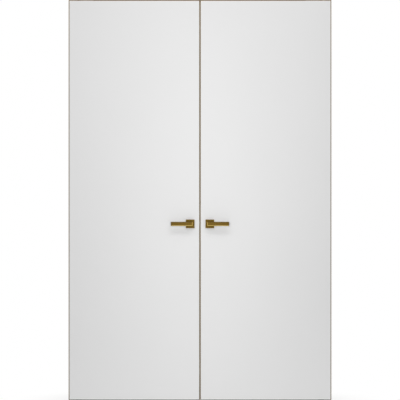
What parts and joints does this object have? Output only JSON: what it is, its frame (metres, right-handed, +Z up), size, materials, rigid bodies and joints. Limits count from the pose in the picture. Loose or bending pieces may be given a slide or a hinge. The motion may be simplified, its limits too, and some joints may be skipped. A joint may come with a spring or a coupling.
{
  "type": "flush double door",
  "caption": "Tall interior double door: plain white flush leaves with gold edging, hung on concealed pivots, with flat lever handles on square roses, a latch and flush bolts.",
  "frame": {"origin": "on the floor, under the middle of the pair and the middle of the leaves' thickness", "axes": "+X to the right for someone facing the pictured side, -Y towards that viewer, +Z up"},
  "size_m": [1.576, 0.16, 2.456],
  "materials": {
    "painted_board": "satin",
    "painted_aluminium": "satin",
    "pine": "matte",
    "chipboard": "matte",
    "gold_aluminium": "satin",
    "bronze_gold": "satin",
    "steel": "satin",
    "nylon": "matte",
    "seal_rubber": "matte"
  },
  "bodies": {
    "fixed_fittings": {"head_rail": "painted_aluminium", "head_stop": "painted_aluminium", "head_seal": "seal_rubber", "left_top_bush": "nylon", "right_top_bush": "nylon", "floor_strip": "steel", "left_floor_pin": "steel", "right_floor_pin": "steel", "left_thrust_washer": "nylon", "right_thrust_washer": "nylon"},
    "left_leaf": {"left_front_skin": "painted_board", "left_back_skin": "painted_board", "left_meeting_stile": "pine", "left_pivot_stile": "pine", "left_top_rail": "pine", "left_bottom_rail": "pine", "left_core": "chipboard", "left_meeting_edge": "gold_aluminium", "left_pivot_edge": "gold_aluminium", "left_top_edge": "gold_aluminium", "left_bottom_edge": "gold_aluminium", "left_pivot_shoe": "steel", "left_top_pivot": "steel", "left_front_rose_cover": "bronze_gold", "left_front_rose_base": "nylon", "left_back_rose_cover": "bronze_gold", "left_back_rose_base": "nylon", "left_strike": "gold_aluminium", "left_top_bolt_plate": "gold_aluminium", "left_bottom_bolt_plate": "gold_aluminium", "left_meeting_seal": "seal_rubber"},
    "right_leaf": {"right_front_skin": "painted_board", "right_back_skin": "painted_board", "right_meeting_stile": "pine", "right_pivot_stile": "pine", "right_top_rail": "pine", "right_bottom_rail": "pine", "right_core": "chipboard", "right_meeting_edge": "gold_aluminium", "right_pivot_edge": "gold_aluminium", "right_top_edge": "gold_aluminium", "right_bottom_edge": "gold_aluminium", "right_pivot_shoe": "steel", "right_top_pivot": "steel", "right_front_rose_cover": "bronze_gold", "right_front_rose_base": "nylon", "right_back_rose_cover": "bronze_gold", "right_back_rose_base": "nylon", "right_latch_case": "steel", "right_latch_forend": "gold_aluminium"},
    "left_levers": {"left_front_lever": "bronze_gold", "left_back_lever": "bronze_gold", "left_spindle": "steel"},
    "right_levers": {"right_front_lever": "bronze_gold", "right_back_lever": "bronze_gold", "right_spindle": "steel", "right_latch_follower": "steel"},
    "latch_bolt": {"right_latch_bolt": "steel"},
    "top_flush_bolt": {"left_top_flush_bolt": "steel"},
    "bottom_flush_bolt": {"left_bottom_flush_bolt": "steel"}
  },
  "joints": [
    {"name": "left_leaf_swing", "type": "hinge", "parent": "fixed_fittings", "child": "left_leaf", "pos_m": [-0.72805, 0, 0], "axis": [0, 0, -1], "range_deg": [0, 90]},
    {"name": "right_leaf_swing", "type": "hinge", "parent": "fixed_fittings", "child": "right_leaf", "pos_m": [0.72805, 0, 0], "axis": [0, 0, 1], "range_deg": [0, 90]},
    {"name": "left_lever_turn", "type": "hinge", "parent": "left_leaf", "child": "left_levers", "pos_m": [-0.05875, 0, 1.067], "axis": [0, -1, 0], "range_deg": [0, 40], "stiffness_Nm_per_rad": 0.8, "springref_deg": -45.84},
    {"name": "right_lever_turn", "type": "hinge", "parent": "right_leaf", "child": "right_levers", "pos_m": [0.05875, 0, 1.067], "axis": [0, 1, 0], "range_deg": [0, 40], "stiffness_Nm_per_rad": 0.8, "springref_deg": -45.84},
    {"name": "latch_bolt_slide", "type": "slide", "parent": "right_leaf", "child": "latch_bolt", "axis": [-1, 0, 0], "range_m": [0, 0.011], "stiffness_N_per_m": 40},
    {"name": "top_bolt_slide", "type": "slide", "parent": "left_leaf", "child": "top_flush_bolt", "axis": [0, 0, 1], "range_m": [0, 0.014]},
    {"name": "bottom_bolt_slide", "type": "slide", "parent": "left_leaf", "child": "bottom_flush_bolt", "axis": [0, 0, -1], "range_m": [0, 0.01]}
  ]
}
